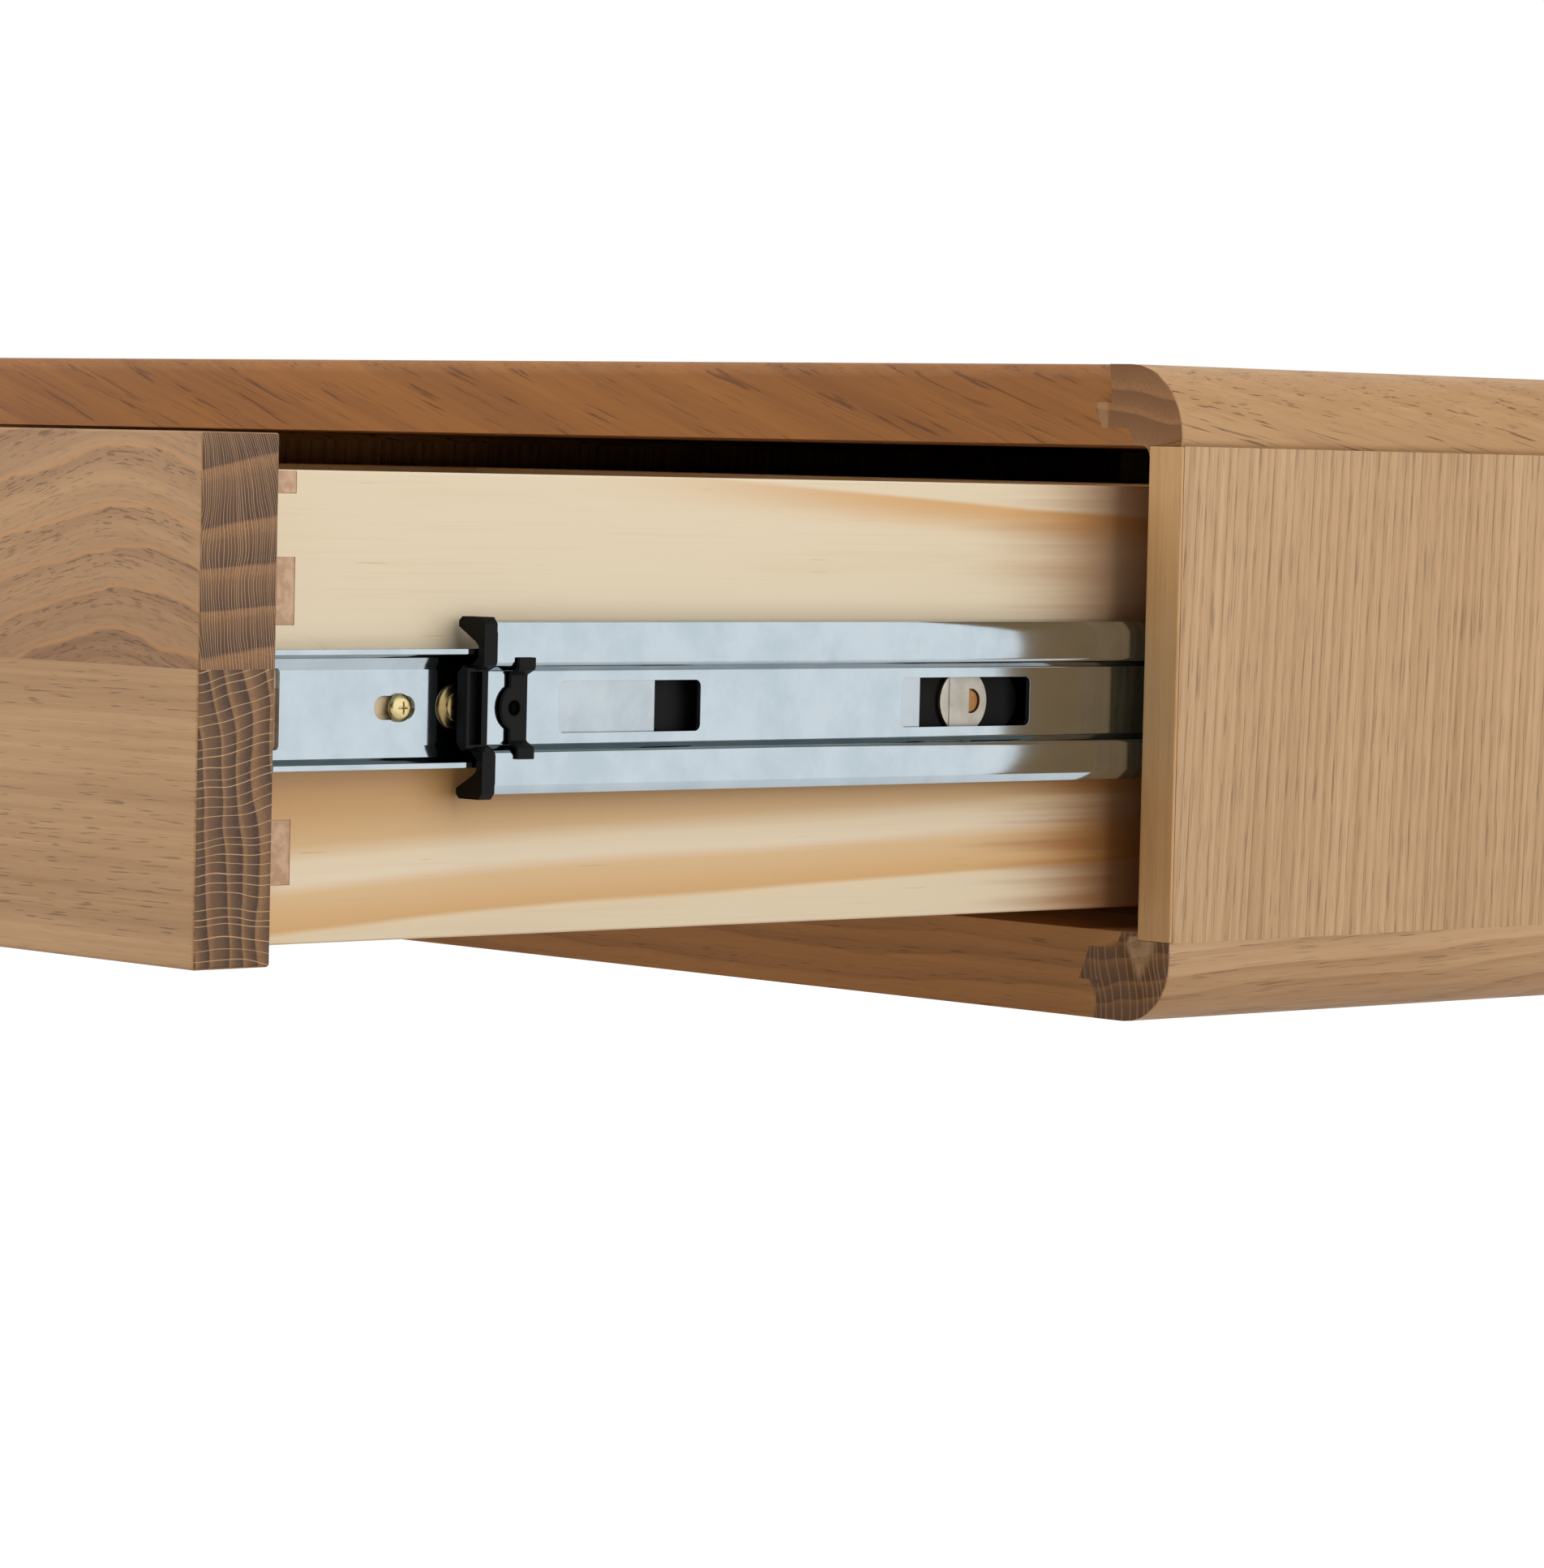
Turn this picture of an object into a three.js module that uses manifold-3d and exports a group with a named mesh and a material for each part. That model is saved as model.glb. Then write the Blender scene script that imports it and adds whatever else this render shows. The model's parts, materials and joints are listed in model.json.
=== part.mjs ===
// A drawer that hangs under a desk top: an oak case, a finger-jointed pine drawer box with a solid oak
// front, and a pair of three-section ball-bearing slides. Millimetres, +Z up, the drawer opens towards -Y.
// The origin is the centre of the case's underside. The drawer stands open, as far as OPEN_BY says.
import * as THREE from "three";
import { mergeVertices } from "three/addons/utils/BufferGeometryUtils.js";
import Module from "manifold-3d";

const wasm = await Module();
wasm.setup();

// ---- Driving dimensions -------------------------------------------------------------------------

// The case
const CASE_WIDTH = 510;
const CASE_DEPTH = 500;
const SIDE_THICKNESS = 10.5;
const BOTTOM_THICKNESS = 21;
const OPENING_HEIGHT = 114;
const TOP_THICKNESS = 19;
const TOP_CORNER_RADIUS = 17; // outside rounding of the corner mouldings
const BOTTOM_CORNER_RADIUS = 14.5;
const COVE_RADIUS = 2.3; // inside rounding of the opening's upper corners
const EDGE_STRIP = 1; // solid oak on the front edge of each side panel
const BACK_THICKNESS = 5;
const PANEL_SEAT = 1.75; // the side panels stand this far below the case's floor
const GROOVE_DEPTH = 4;
const GROOVE_PLAY = 0.25;

// The drawer
const OPEN_BY = 275; // how far the drawer stands open
const FRONT_THICKNESS = 20;
const FRONT_SIDE_GAP = 2;
const FRONT_BOTTOM_GAP = 1.5;
const FRONT_HEIGHT = 110.5;
const LOWER_BOARD_HEIGHT = 61.75; // the front is glued up from a lower and an upper board
const BOX_THICKNESS = 13;
const BOX_LENGTH = 450;
const BOX_HEIGHT = 99.4;
const BOX_LIFT = 5; // from the case's floor to the box's lower edge
const PLY_THICKNESS = 5;
const PLY_LIFT = 10; // from the box's lower edge to the plywood bottom
const NOTCH_WIDTH = 96; // finger notch in the front's upper edge
const NOTCH_DEPTH = 17;

// The slides, 45.5 mm high and 12.75 mm thick between case and box
const SLIDE_THICKNESS = 12.75;
const SLIDE_RISE = 54.5; // from the case's floor to the slides' middle
const SLIDE_SETBACK = 4; // from the closed front's back face to the fixed member
const FIXED_LENGTH = 450;
const MIDDLE_LENGTH = 432;
const DRAWER_MEMBER_LENGTH = 448;
const MIDDLE_OUT_BY = 225.5; // how far the middle member stands out of its closed place
const STEEL = 1.2; // sheet thickness of the three members
const CAGE_STEEL = 0.6;
const OUTER_BALL = 1.45; // ball radius between fixed and middle member
const INNER_BALL = 1.75; // ball radius between middle and drawer member
const CLIP_SETBACK = 5.4; // from the middle member's front end to its clip

// ---- Places that follow from them ---------------------------------------------------------------

const halfWidth = CASE_WIDTH / 2;
const innerX = halfWidth - SIDE_THICKNESS; // inner face of a side panel
const caseFront = -CASE_DEPTH / 2;
const caseBack = CASE_DEPTH / 2;
const floorZ = BOTTOM_THICKNESS;
const ceilingZ = floorZ + OPENING_HEIGHT;
const caseHeight = ceilingZ + TOP_THICKNESS;
const frontFace = caseFront - OPEN_BY;
const boxFront = frontFace + FRONT_THICKNESS;
const boxBack = boxFront + BOX_LENGTH;
const boxX = innerX - SLIDE_THICKNESS; // outer face of a box side
const boxInnerX = boxX - BOX_THICKNESS;
const boxZ = floorZ + BOX_LIFT;
const boxTop = boxZ + BOX_HEIGHT;
const slideZ = floorZ + SLIDE_RISE;
const fixedFront = caseFront + FRONT_THICKNESS + SLIDE_SETBACK;
const middleFront = fixedFront + 6.5 - MIDDLE_OUT_BY;
const drawerMemberFront = boxFront + 2;

// ---- Solids -------------------------------------------------------------------------------------

function toSolid(geometry) {
  const bare = geometry.index ? geometry.toNonIndexed() : geometry.clone();
  for (const name of Object.keys(bare.attributes)) {
    if (name !== "position") bare.deleteAttribute(name);
  }
  const merged = mergeVertices(bare, 1e-4);
  return new wasm.Manifold(
    new wasm.Mesh({
      numProp: 3,
      vertProperties: merged.attributes.position.array,
      triVerts: new Uint32Array(merged.index.array),
    }),
  );
}

function toGeometry(manifold) {
  const mesh = manifold.getMesh();
  const geometry = new THREE.BufferGeometry();
  geometry.setAttribute("position", new THREE.BufferAttribute(mesh.vertProperties, 3));
  geometry.setIndex(new THREE.BufferAttribute(mesh.triVerts, 1));
  geometry.computeVertexNormals();
  return geometry;
}

function cut(geometry, ...tools) {
  let left = toSolid(geometry);
  for (const tool of tools) left = left.subtract(toSolid(tool));
  return toGeometry(left);
}

function join(first, ...others) {
  let all = toSolid(first);
  for (const other of others) all = all.add(toSolid(other));
  return toGeometry(all);
}

// A box between two corners.
function block([x0, x1], [y0, y1], [z0, z1]) {
  const box = new THREE.BoxGeometry(x1 - x0, y1 - y0, z1 - z0);
  return box.translate((x0 + x1) / 2, (y0 + y1) / 2, (z0 + z1) / 2);
}

// An outline in X and Z, extruded along Y.
function prismY(outline, [y0, y1]) {
  const shape = outline instanceof THREE.Shape ? outline : polygon(outline);
  const solid = new THREE.ExtrudeGeometry(shape, {
    depth: y1 - y0,
    bevelEnabled: false,
    curveSegments: 10,
  });
  return solid.rotateX(Math.PI / 2).translate(0, y1, 0);
}

// An outline in Y and Z, extruded along X.
function prismX(outline, [x0, x1]) {
  const shape = outline instanceof THREE.Shape ? outline : polygon(outline);
  const solid = new THREE.ExtrudeGeometry(shape, {
    depth: x1 - x0,
    bevelEnabled: false,
    curveSegments: 5,
  });
  return solid.rotateY(Math.PI / 2).rotateX(Math.PI / 2).translate(x0, 0, 0);
}

function polygon(points) {
  return new THREE.Shape(points.map(([x, y]) => new THREE.Vector2(x, y)));
}

// A cylinder along X from x0 to x1, round (y, z).
function rodX(radius, [x0, x1], y, z, sides = 12) {
  const rod = new THREE.CylinderGeometry(radius, radius, x1 - x0, sides);
  return rod.rotateZ(Math.PI / 2).translate((x0 + x1) / 2, y, z);
}

// A cylinder along Y from y0 to y1, round (x, z).
function rodY(radius, [y0, y1], x, z, sides = 12) {
  const rod = new THREE.CylinderGeometry(radius, radius, y1 - y0, sides);
  return rod.translate(x, (y0 + y1) / 2, z);
}

// A window with rounded corners through a slide member's web, centred on height z.
function windowX([x0, x1], [y0, y1], z, halfHeight, radius) {
  const shape = new THREE.Shape();
  const [low, high] = [z - halfHeight, z + halfHeight];
  shape.moveTo(y0 + radius, low);
  shape.lineTo(y1 - radius, low);
  shape.absarc(y1 - radius, low + radius, radius, -Math.PI / 2, 0);
  shape.lineTo(y1, high - radius);
  shape.absarc(y1 - radius, high - radius, radius, 0, Math.PI / 2);
  shape.lineTo(y0 + radius, high);
  shape.absarc(y0 + radius, high - radius, radius, Math.PI / 2, Math.PI);
  shape.lineTo(y0, low + radius);
  shape.absarc(y0 + radius, low + radius, radius, Math.PI, 1.5 * Math.PI);
  return prismX(shape, [x0, x1]);
}

// ---- Sheet-metal profiles -----------------------------------------------------------------------

// Rounds the corners of a path of [x, z, radius] points, with a few points on each bend.
function roundedPath(corners, steps = 2) {
  const path = [];
  corners.forEach(([x, z, radius = 0], i) => {
    const here = new THREE.Vector2(x, z);
    if (!radius || i === 0 || i === corners.length - 1) {
      path.push(here);
      return;
    }
    const before = new THREE.Vector2(corners[i - 1][0], corners[i - 1][1]).sub(here).normalize();
    const after = new THREE.Vector2(corners[i + 1][0], corners[i + 1][1]).sub(here).normalize();
    const half = Math.acos(THREE.MathUtils.clamp(before.dot(after), -1, 1)) / 2;
    const reach = radius / Math.tan(half);
    const start = here.clone().addScaledVector(before, reach);
    const end = here.clone().addScaledVector(after, reach);
    const bend = new THREE.QuadraticBezierCurve(start, here, end);
    path.push(...bend.getPoints(steps));
  });
  return path;
}

// The outline of sheet metal of the given thickness on both sides of a path.
function sheetOutline(path, thickness) {
  const left = [];
  const right = [];
  path.forEach((point, i) => {
    const back = path[Math.max(i - 1, 0)];
    const ahead = path[Math.min(i + 1, path.length - 1)];
    const first = point.clone().sub(back);
    const second = ahead.clone().sub(point);
    if (first.lengthSq() === 0) first.copy(second);
    if (second.lengthSq() === 0) second.copy(first);
    first.normalize();
    second.normalize();
    const along = first.clone().add(second).normalize();
    const reach = thickness / 2 / Math.max(along.dot(first), 0.5);
    const normal = new THREE.Vector2(-along.y, along.x);
    left.push(point.clone().addScaledVector(normal, reach));
    right.push(point.clone().addScaledVector(normal, -reach));
  });
  return new THREE.Shape([...left, ...right.reverse()]);
}

// Mirrors the upper half of a profile, which starts on z = 0, and joins the two halves.
function bothHalves(upper) {
  const lower = upper.slice(1).map(([x, z, radius]) => [x, -z, radius]).reverse();
  return [...lower, ...upper.slice(1)];
}

// Upper halves, [x, z, bend radius] along the middle of the sheet. x is 0 at the side panel's inner
// face and falls towards the drawer; z is measured from the slide's middle.
const FIXED_PROFILE = [
  [-0.6, 0],
  [-0.6, 22.15, 1.6],
  [-9, 22.15, 1.2],
  [-9, 19.7],
];
const MIDDLE_PROFILE = [
  [-6, 0],
  [-6, 8.3, 0.9],
  [-3, 9.6, 0.9],
  [-3, 18.7, 1.8],
  [-6, 17.4, 0.8],
  [-8.2, 18.7, 1],
  [-8.2, 14.8],
];
const DRAWER_PROFILE = [
  [SLIDE_THICKNESS * -1 + 0.6, 0],
  [SLIDE_THICKNESS * -1 + 0.6, 12.1, 4],
  [-4.9, 12.1],
];
const OUTER_CAGE_PROFILE = [
  [-4.8, 0],
  [-4.8, 7.4, 0.8],
  [-1.8, 8.7, 0.8],
  [-1.8, 20.05, 1],
  [-7.6, 20.05],
];
const INNER_CAGE_PROFILE = [
  [-7.75, 0],
  [-7.75, 8.7, 0.8],
  [-4.1, 10.45, 0.8],
  [-4.1, 14.55, 0.6],
  [-7.2, 14.55],
];
const CLIP_PROFILE = [
  [-4.6, 0],
  [-4.6, 7.3, 0.8],
  [-1.9, 8.6, 0.6],
  [-1.9, 10.9],
];

// Outlines of the end bumper: the claw round the upper lobe, and the rib across the web.
const BUMPER_CLAW = [
  [-5.4, 8],
  [-2.2, 9.4],
  [-2.2, 18.1],
  [-3.4, 19.5],
  [-9.8, 19.5],
  [-10.9, 18.6],
  [-10.9, 17.3],
  [-9.6, 16.6],
  [-5.2, 14.2],
  [-4.2, 13.3],
  [-4.2, 11],
  [-6.6, 8.8],
];
const BUMPER_RIB = [
  [-5, -8.6],
  [-5, 8.6],
  [-6.4, 9.2],
  [-8.2, 7.4],
  [-8.2, -7.4],
  [-6.4, -9.2],
];

function member(profile, thickness, span) {
  const path = roundedPath(bothHalves(profile));
  return prismY(sheetOutline(path, thickness), span).translate(0, 0, slideZ);
}

// ---- Materials ----------------------------------------------------------------------------------

const material = (color, roughness, metalness = 0) =>
  new THREE.MeshStandardMaterial({ color, roughness, metalness });
const oak = material(0xb98a5c, 0.55);
const oakVeneer = material(0xc9a47a, 0.6);
const oakFront = material(0xa98461, 0.55);
const pine = material(0xe3cfa4, 0.5);
const plywood = material(0xd8c09a, 0.65);
const zinc = material(0xc3cdd2, 0.3, 0.9);
const cageZinc = material(0xb9c2c6, 0.35, 0.9);
const blackPlastic = material(0x1d1c1a, 0.5);
const yellowZinc = material(0xcdb878, 0.35, 0.9);
const plainSteel = material(0xb4b3ad, 0.35, 0.9);

const drawerUnit = new THREE.Group();

function add(parent, name, geometry, surface) {
  const mesh = new THREE.Mesh(geometry, surface);
  mesh.name = name;
  parent.add(mesh);
  return mesh;
}

// ---- Screws -------------------------------------------------------------------------------------

// A cross-head screw along +Z: the shank reaches down from z = 0, and the head stands above it.
function screw({ headRadius, headHeight, shankRadius, length }) {
  const points = [
    [0, -length],
    [shankRadius, -length + shankRadius * 1.5],
    [shankRadius, 0],
    [headRadius, 0],
    [headRadius, headHeight * 0.35],
    [headRadius * 0.72, headHeight * 0.9],
    [0, headHeight],
  ];
  const turned = new THREE.LatheGeometry(
    points.map(([r, z]) => new THREE.Vector2(r, z)),
    10,
  ).rotateX(Math.PI / 2);
  const arm = headRadius * 0.5;
  const slot = headRadius * 0.12;
  const top = [headHeight * 0.35, headHeight + 1];
  return cut(turned, block([-arm, arm], [-slot, slot], top), block([-slot, slot], [-arm, arm], top));
}

const PAN_SCREW = { headRadius: 3.1, headHeight: 1.9, shankRadius: 1.6, length: 11 };
const WAFER_SCREW = { headRadius: 5, headHeight: 1.8, shankRadius: 1.9, length: 11 };
const CASE_SCREW = { headRadius: 3.1, headHeight: 1.8, shankRadius: 1.6, length: 9 };
const LONG_SCREW = { headRadius: 4, headHeight: 2.2, shankRadius: 1.8, length: 26 };
const SCREW_HOLE = 2.25;

// ---- The case -----------------------------------------------------------------------------------

const caseSpan = [caseFront, caseBack];
const backSpan = [caseBack - 10, caseBack - 10 + BACK_THICKNESS];
const backX = innerX + GROOVE_DEPTH;
const backGroove = () =>
  block(
    [-backX - GROOVE_PLAY, backX + GROOVE_PLAY],
    [backSpan[0] - GROOVE_PLAY, backSpan[1] + GROOVE_PLAY],
    [floorZ - GROOVE_DEPTH - GROOVE_PLAY, ceilingZ + GROOVE_DEPTH + GROOVE_PLAY],
  );

// The tongued joint between a top or bottom board and a corner moulding, from the outside face to the
// opening: [distance in from the side panel's inner face, distance from the outside face].
function jointLine(thickness) {
  return [
    [13.5, 0],
    [12.5, 9],
    [18.75, 9],
    [15.5, thickness - 4],
    [7, thickness - 4],
    [5, thickness],
  ];
}

function boardOutline(thickness, placeZ) {
  const right = jointLine(thickness).map(([inwards, down]) => [innerX - inwards, placeZ(down)]);
  const left = right.map(([x, z]) => [-x, z]).reverse();
  return [...right, ...left];
}

// Points of a quarter turn, each [1 - sin, 1 - cos] of its angle.
function quarterTurn(steps) {
  return Array.from({ length: steps + 1 }, (_, i) => {
    const angle = (i / steps) * (Math.PI / 2);
    return [1 - Math.sin(angle), 1 - Math.cos(angle)];
  });
}

function mouldingOutline(thickness, placeZ, radius, inside) {
  const joint = jointLine(thickness).map(([inwards, down]) => [innerX - inwards, placeZ(down)]);
  const outside = quarterTurn(8).map(([x, z]) => [halfWidth - radius * x, placeZ(radius * z)]);
  return [...joint.reverse(), ...outside, ...inside];
}

// The bottom moulding has a seat for the side panel, with its lip level with the case's floor.
const seatOutline = [
  [halfWidth, floorZ - PANEL_SEAT],
  [innerX, floorZ - PANEL_SEAT],
  [innerX, floorZ],
];

// The top moulding laps the side panel's inner face with a small cove.
const coveOutline = [
  [halfWidth, ceilingZ],
  [innerX, ceilingZ],
  ...quarterTurn(4)
    .map(([x, z]) => [innerX - COVE_RADIUS * x, ceilingZ - COVE_RADIUS * z])
    .reverse(),
];

const fromTop = (down) => caseHeight - down;
const fromBottom = (up) => up;

function cabinetScrewPlaces() {
  return [fixedFront + 36, fixedFront + 246, fixedFront + 406];
}

function caseBoards() {
  const top = prismY(boardOutline(TOP_THICKNESS, fromTop), caseSpan);
  add(drawerUnit, "top_board", cut(top, backGroove()), oak);
  const bottom = prismY(boardOutline(BOTTOM_THICKNESS, fromBottom), caseSpan);
  add(drawerUnit, "bottom_board", cut(bottom, backGroove()), oak);
  const back = block([-backX, backX], backSpan, [floorZ - GROOVE_DEPTH, ceilingZ + GROOVE_DEPTH]);
  add(drawerUnit, "back_panel", back, plywood);
}

function caseSide(side) {
  const group = new THREE.Group();
  group.scale.x = side === "right" ? 1 : -1;
  drawerUnit.add(group);
  const topShape = mouldingOutline(TOP_THICKNESS, fromTop, TOP_CORNER_RADIUS, coveOutline);
  const topMoulding = cut(prismY(topShape, caseSpan), backGroove());
  add(group, `top_corner_moulding_${side}`, topMoulding, oak);
  const lowShape = mouldingOutline(BOTTOM_THICKNESS, fromBottom, BOTTOM_CORNER_RADIUS, seatOutline);
  const lowMoulding = cut(prismY(lowShape, caseSpan), backGroove());
  add(group, `bottom_corner_moulding_${side}`, lowMoulding, oak);
  const height = [floorZ - PANEL_SEAT, ceilingZ];
  const panel = block([innerX, halfWidth], [caseFront + EDGE_STRIP, caseBack], height);
  const holes = cabinetScrewPlaces().map((y) =>
    rodX(SCREW_HOLE, [innerX - 1, innerX + 9], y, slideZ),
  );
  add(group, `side_panel_${side}`, cut(panel, backGroove(), ...holes), oakVeneer);
  const strip = block([innerX, halfWidth], [caseFront, caseFront + EDGE_STRIP], height);
  add(group, `side_edge_strip_${side}`, strip, oak);
}

// ---- The drawer box and front -------------------------------------------------------------------

// Heights of the fingers that the box's front and back boards push through its sides.
const FINGERS = [
  [12.5, 26.25],
  [39.75, 53.75],
  [67, 81.25],
  [94.5, BOX_HEIGHT],
].map(([low, high]) => [boxZ + low, boxZ + high]);

const plyGroove = () =>
  block(
    [-boxInnerX - 5, boxInnerX + 5],
    [boxFront + BOX_THICKNESS - 5, boxBack - BOX_THICKNESS + 5],
    [boxZ + PLY_LIFT - GROOVE_PLAY, boxZ + PLY_LIFT + PLY_THICKNESS + GROOVE_PLAY],
  );

function notch(y0, y1) {
  const radius = (NOTCH_WIDTH ** 2 / 4 + NOTCH_DEPTH ** 2) / (2 * NOTCH_DEPTH);
  const top = floorZ + FRONT_BOTTOM_GAP + FRONT_HEIGHT;
  return rodY(radius, [y0 - 1, y1 + 1], 0, top - NOTCH_DEPTH + radius, 72);
}

const frontScrewPlaces = [-150, 150].flatMap((x) => [
  [x, boxZ + 28],
  [x, boxZ + 82],
]);

function frontHoles(y0, y1) {
  return frontScrewPlaces.map(([x, z]) => rodY(SCREW_HOLE, [y0, y1], x, z));
}

function drawerFront() {
  const low = floorZ + FRONT_BOTTOM_GAP;
  const seam = low + LOWER_BOARD_HEIGHT;
  const span = [-innerX + FRONT_SIDE_GAP, innerX - FRONT_SIDE_GAP];
  const holes = frontHoles(boxFront - 14, boxFront + 1);
  const lower = block(span, [frontFace, boxFront], [low, seam]);
  add(drawerUnit, "drawer_front_lower_board", cut(lower, ...holes), oakFront);
  const upper = block(span, [frontFace, boxFront], [seam, low + FRONT_HEIGHT]);
  const scooped = cut(upper, ...holes, notch(frontFace, boxFront));
  add(drawerUnit, "drawer_front_upper_board", scooped, oakFront);
}

function boxEnd(y0, y1) {
  const core = block([-boxInnerX, boxInnerX], [y0, y1], [boxZ, boxTop]);
  const fingers = FINGERS.map((height) => block([-boxX, boxX], [y0, y1], height));
  return join(core, ...fingers);
}

function drawerBox() {
  const frontSpan = [boxFront, boxFront + BOX_THICKNESS];
  const backSpanY = [boxBack - BOX_THICKNESS, boxBack];
  const front = cut(
    boxEnd(...frontSpan),
    plyGroove(),
    notch(...frontSpan),
    ...frontHoles(frontSpan[0] - 1, frontSpan[1] + 1),
  );
  add(drawerUnit, "box_front_board", front, pine);
  add(drawerUnit, "box_back_board", cut(boxEnd(...backSpanY), plyGroove()), pine);
  const ply = block(
    [-boxInnerX - 4.75, boxInnerX + 4.75],
    [frontSpan[1] - 4.75, backSpanY[0] + 4.75],
    [boxZ + PLY_LIFT, boxZ + PLY_LIFT + PLY_THICKNESS],
  );
  add(drawerUnit, "box_bottom_panel", ply, plywood);
  for (const [x, z, i] of frontScrewPlaces.map((place, n) => [...place, n + 1])) {
    const fixing = add(drawerUnit, `front_screw_${i}`, screw(LONG_SCREW), plainSteel);
    fixing.rotation.x = -Math.PI / 2;
    fixing.position.set(x, frontSpan[1] + 0.05, z);
  }
}

// Where the drawer member is screwed to the box side, and with what.
const memberScrews = [
  { y: drawerMemberFront + 38.5, kind: PAN_SCREW },
  { y: drawerMemberFront + 54, kind: WAFER_SCREW },
  { y: drawerMemberFront + 383, kind: PAN_SCREW },
];

// The release lever's rivet, and the large hole behind it, which goes on into the box side.
const RIVET_Y = drawerMemberFront + 202.8;
const PIVOT_Y = RIVET_Y + 2.5;

function boxSide(side) {
  const group = new THREE.Group();
  group.scale.x = side === "right" ? 1 : -1;
  drawerUnit.add(group);
  const board = block([boxInnerX, boxX], [boxFront, boxBack], [boxZ, boxTop]);
  const sockets = FINGERS.flatMap(([low, high]) => {
    const height = [low, high === boxTop ? high + 1 : high];
    return [
      block([boxInnerX - 1, boxX + 1], [boxFront - 1, boxFront + BOX_THICKNESS], height),
      block([boxInnerX - 1, boxX + 1], [boxBack - BOX_THICKNESS, boxBack + 1], height),
    ];
  });
  const holes = memberScrews.map(({ y }) => rodX(SCREW_HOLE, [boxX - 11.5, boxX + 1], y, slideZ));
  const made = cut(board, ...sockets, ...holes, plyGroove());
  add(group, `box_side_${side}`, made, pine);
}

// ---- The slides ---------------------------------------------------------------------------------

// Rows of balls in a cage, each grown together with the cage that holds it.
function withBalls(cage, radius, x, z, [y0, y1], count) {
  const balls = [];
  for (let i = 0; i < count; i++) {
    const y = THREE.MathUtils.lerp(y0, y1, i / (count - 1));
    for (const sign of [-1, 1]) {
      const ball = new THREE.SphereGeometry(radius, 6, 4).rotateX(Math.PI / 2);
      balls.push(ball.translate(x, y, slideZ + sign * z));
    }
  }
  return join(cage, ...balls);
}

function fixedMember(group, side) {
  const span = [fixedFront, fixedFront + FIXED_LENGTH];
  const web = [-2, 1];
  const holes = cabinetScrewPlaces().map((y) => rodX(SCREW_HOLE, web, y, slideZ));
  const slots = [70, 330].map((y) =>
    windowX(web, [fixedFront + y, fixedFront + y + 12], slideZ, 2.4, 2.3),
  );
  const made = cut(member(FIXED_PROFILE, STEEL, span), ...holes, ...slots);
  add(group, `fixed_member_${side}`, made, zinc);
  cabinetScrewPlaces().forEach((y, i) => {
    const fixing = add(group, `fixed_member_screw_${i + 1}_${side}`, screw(CASE_SCREW), yellowZinc);
    fixing.rotation.y = -Math.PI / 2;
    fixing.position.set(-STEEL - 0.05, y, slideZ);
  });
  const stop = block([-7.5, -1.3], [span[1] - 10, span[1] - 2], [slideZ - 7.5, slideZ + 7.5]);
  add(group, `rear_stop_${side}`, stop, blackPlastic);
  const cageSpan = [fixedFront + 11, fixedFront + 211];
  const cage = member(OUTER_CAGE_PROFILE, CAGE_STEEL, cageSpan);
  const balls = [cageSpan[0] + 8, cageSpan[1] - 8];
  const full = withBalls(cage, OUTER_BALL, -6, 20.05, balls, 7);
  add(group, `outer_ball_cage_${side}`, full, cageZinc);
}

function middleMember(group, side) {
  const span = [middleFront, middleFront + MIDDLE_LENGTH];
  const windows = [20, 122, 222, 323].map((y) =>
    windowX([-8, -4], [middleFront + y, middleFront + y + 41], slideZ, 5.625, 1.5),
  );
  const clipHole = rodX(2.4, [-8, -4], middleFront + CLIP_SETBACK + 1.1, slideZ, 16);
  const made = cut(member(MIDDLE_PROFILE, STEEL, span), ...windows, clipHole);
  add(group, `middle_member_${side}`, made, zinc);
  add(group, `end_bumper_${side}`, endBumper(), blackPlastic);
  add(group, `web_clip_${side}`, webClip(), blackPlastic);
  const cageSpan = [middleFront + 7.3, middleFront + 129.8];
  const cage = cut(
    member(INNER_CAGE_PROFILE, 0.5, cageSpan),
    windowX([-8, -6], [middleFront + 49.3, middleFront + 121.3], slideZ, 6.5, 1),
  );
  const balls = [cageSpan[0] + 6, cageSpan[1] - 6];
  const full = withBalls(cage, INNER_BALL, -5.7, 14.55, balls, 6);
  add(group, `inner_ball_cage_${side}`, full, cageZinc);
}

// The plastic stop on the middle member's front end. It caps both lobes, and the drawer member passes
// between them, over the grooved rib on the web's end.
function endBumper() {
  const end = middleFront - 0.25;
  const mirrored = BUMPER_CLAW.map(([x, z]) => [x, -z]);
  const claws = [BUMPER_CLAW, mirrored].map((outline) =>
    prismY(outline, [end - 3.6, end]).translate(0, 0, slideZ),
  );
  const rib = prismY(BUMPER_RIB, [end - 5.9, end]).translate(0, 0, slideZ);
  const groove = block([-7.1, -4], [end - 5, end - 1.7], [slideZ - 7.8, slideZ + 7.8]);
  return cut(join(rib, ...claws), groove);
}

// The small plastic clip behind the bumper. Its hollow peg goes through the middle member's web.
function webClip() {
  const span = [middleFront + CLIP_SETBACK, middleFront + CLIP_SETBACK + 4.7];
  const strap = member(CLIP_PROFILE, 0.8, span);
  const belly = rodX(5.3, [-5, -4.2], span[0] + 2.7, slideZ, 28);
  const pegY = span[0] + 1.1;
  const peg = rodX(2.2, [-6.9, -4.5], pegY, slideZ, 16);
  const beyond = block([-6, -3], [span[1], span[1] + 6], [slideZ - 7, slideZ + 7]);
  return cut(join(strap, belly, peg), beyond, rodX(1.65, [-8, -3], pegY, slideZ, 16));
}

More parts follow.
